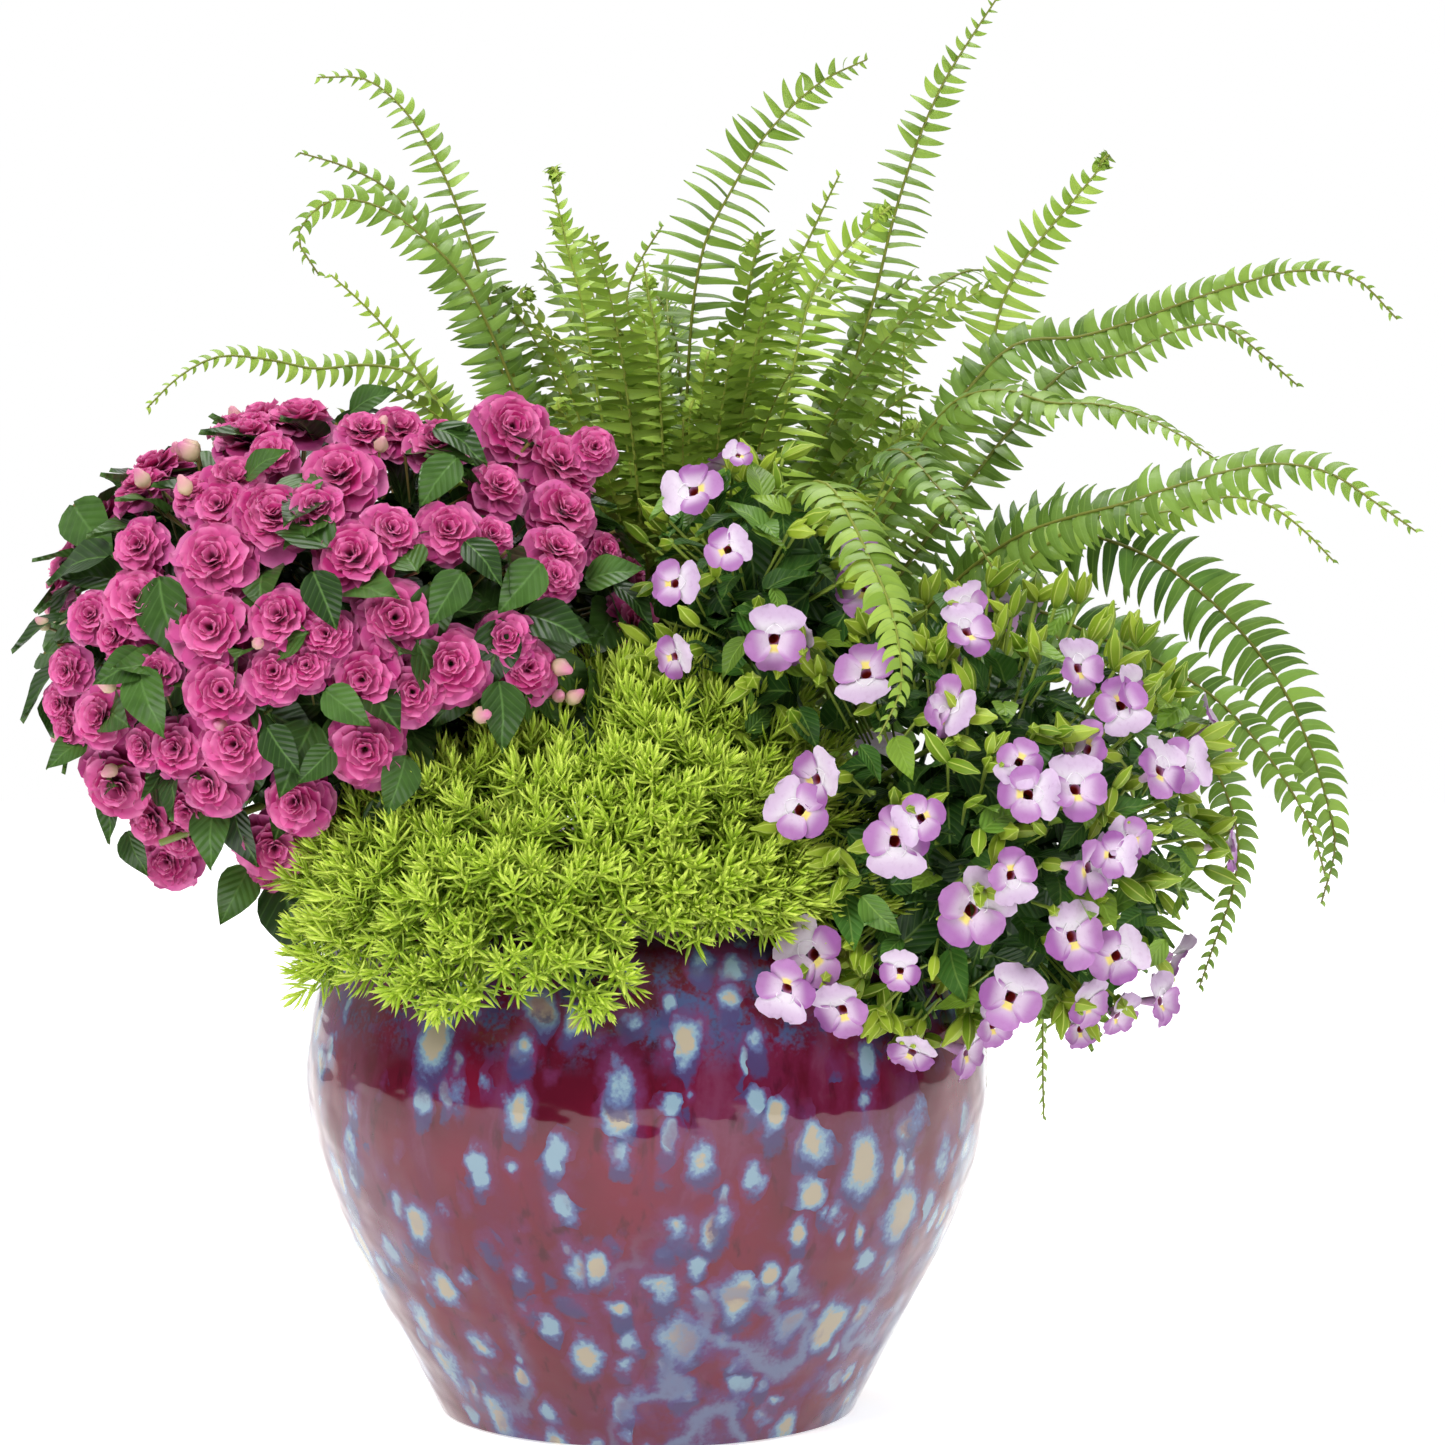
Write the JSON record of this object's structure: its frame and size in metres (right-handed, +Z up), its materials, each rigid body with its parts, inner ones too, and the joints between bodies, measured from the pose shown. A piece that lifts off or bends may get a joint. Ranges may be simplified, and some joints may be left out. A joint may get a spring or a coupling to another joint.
{
  "type": "potted fern with flowering plants",
  "caption": "Round glazed pot on a flat foot, planted with an arching sword fern behind double impatiens, torenia and golden sedum that spill over the rim.",
  "frame": {"origin": "centre of the pot's flat foot, on the surface it stands on", "axes": "+Z up, -Y towards the front of the planting, +X to the viewer's right"},
  "size_m": [0.6683, 0.5082, 0.7033],
  "materials": {
    "pot_glaze": "gloss",
    "soil": "matte",
    "fern_crown": "matte",
    "fern_leaf": "satin",
    "fern_stalk": "satin",
    "impatiens_petal": "satin",
    "impatiens_leaf": "satin",
    "impatiens_bud": "satin",
    "impatiens_stem": "satin",
    "torenia_petal": "satin",
    "torenia_leaf": "satin",
    "torenia_calyx": "satin",
    "torenia_stem": "satin",
    "sedum_leaf": "satin"
  },
  "bodies": {
    "root": {"pot": "pot_glaze", "potting_soil": "soil", "fern_crown": "fern_crown", "fern_frond_01": "fern_leaf", "fern_frond_02": "fern_leaf", "fern_frond_03": "fern_leaf", "fern_frond_04": "fern_leaf", "fern_frond_05": "fern_leaf", "fern_frond_06": "fern_leaf", "fern_frond_07": "fern_leaf", "fern_frond_08": "fern_leaf", "fern_frond_09": "fern_leaf", "fern_frond_10": "fern_leaf", "fern_frond_11": "fern_leaf", "fern_frond_12": "fern_leaf", "fern_frond_13": "fern_leaf", "fern_frond_14": "fern_leaf", "fern_frond_15": "fern_leaf", "fern_frond_16": "fern_leaf", "fern_frond_17": "fern_leaf", "fern_frond_18": "fern_leaf", "fern_frond_19": "fern_leaf", "fern_frond_20": "fern_leaf", "fern_frond_21": "fern_leaf", "fern_frond_22": "fern_leaf", "fern_frond_23": "fern_leaf", "fern_frond_24": "fern_leaf", "fern_frond_25": "fern_leaf", "fern_frond_26": "fern_leaf", "fern_frond_27": "fern_leaf", "fern_frond_28": "fern_leaf", "fern_frond_29": "fern_leaf", "fern_frond_30": "fern_leaf", "fern_frond_31": "fern_leaf", "fern_frond_32": "fern_leaf", "fern_frond_33": "fern_leaf", "fern_frond_34": "fern_leaf", "fern_frond_35": "fern_leaf", "impatiens_shoot_1": "impatiens_petal", "impatiens_shoot_2": "impatiens_petal", "impatiens_shoot_3": "impatiens_petal", "impatiens_shoot_4": "impatiens_petal", "impatiens_shoot_5": "impatiens_petal", "impatiens_shoot_6": "impatiens_petal", "impatiens_shoot_7": "impatiens_petal", "impatiens_shoot_8": "impatiens_petal", "impatiens_shoot_9": "impatiens_petal", "torenia_shoot_1": "torenia_petal", "torenia_shoot_2": "torenia_petal", "torenia_shoot_3": "torenia_petal", "torenia_shoot_4": "torenia_petal", "torenia_shoot_5": "torenia_petal", "torenia_shoot_6": "torenia_petal", "torenia_shoot_7": "torenia_petal", "torenia_shoot_8": "torenia_petal", "sedum_tuft_1": "sedum_leaf", "sedum_tuft_2": "sedum_leaf", "sedum_tuft_3": "sedum_leaf", "sedum_tuft_4": "sedum_leaf", "sedum_tuft_5": "sedum_leaf"}
  },
  "joints": []
}
